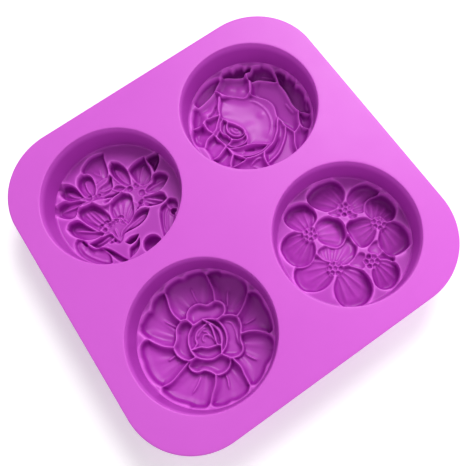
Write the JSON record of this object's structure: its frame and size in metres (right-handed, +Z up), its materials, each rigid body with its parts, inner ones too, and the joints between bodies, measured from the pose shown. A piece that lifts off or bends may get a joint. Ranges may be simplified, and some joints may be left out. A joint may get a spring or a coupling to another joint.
{
  "type": "silicone soap mould",
  "caption": "Flexible square soap mould: a thin round-cornered deck with round cups hanging from it, each with a flower sunk into its floor.",
  "frame": {"origin": "middle of the plane the four cups stand on", "axes": "+Z up out of the cups' mouths; +X and +Y along the deck's sides, with the rose cup at +X +Y"},
  "size_m": [0.165, 0.165, 0.0255],
  "materials": {
    "silicone": "satin moulded silicone, one even orchid pink through the whole piece"
  },
  "bodies": {
    "root": {"deck": "silicone", "lily_cup_wall": "silicone", "rose_cup_wall": "silicone", "blossom_cup_wall": "silicone", "camellia_cup_wall": "silicone", "lily_floor": "silicone", "rose_floor": "silicone", "blossom_floor": "silicone", "camellia_floor": "silicone"}
  },
  "joints": []
}
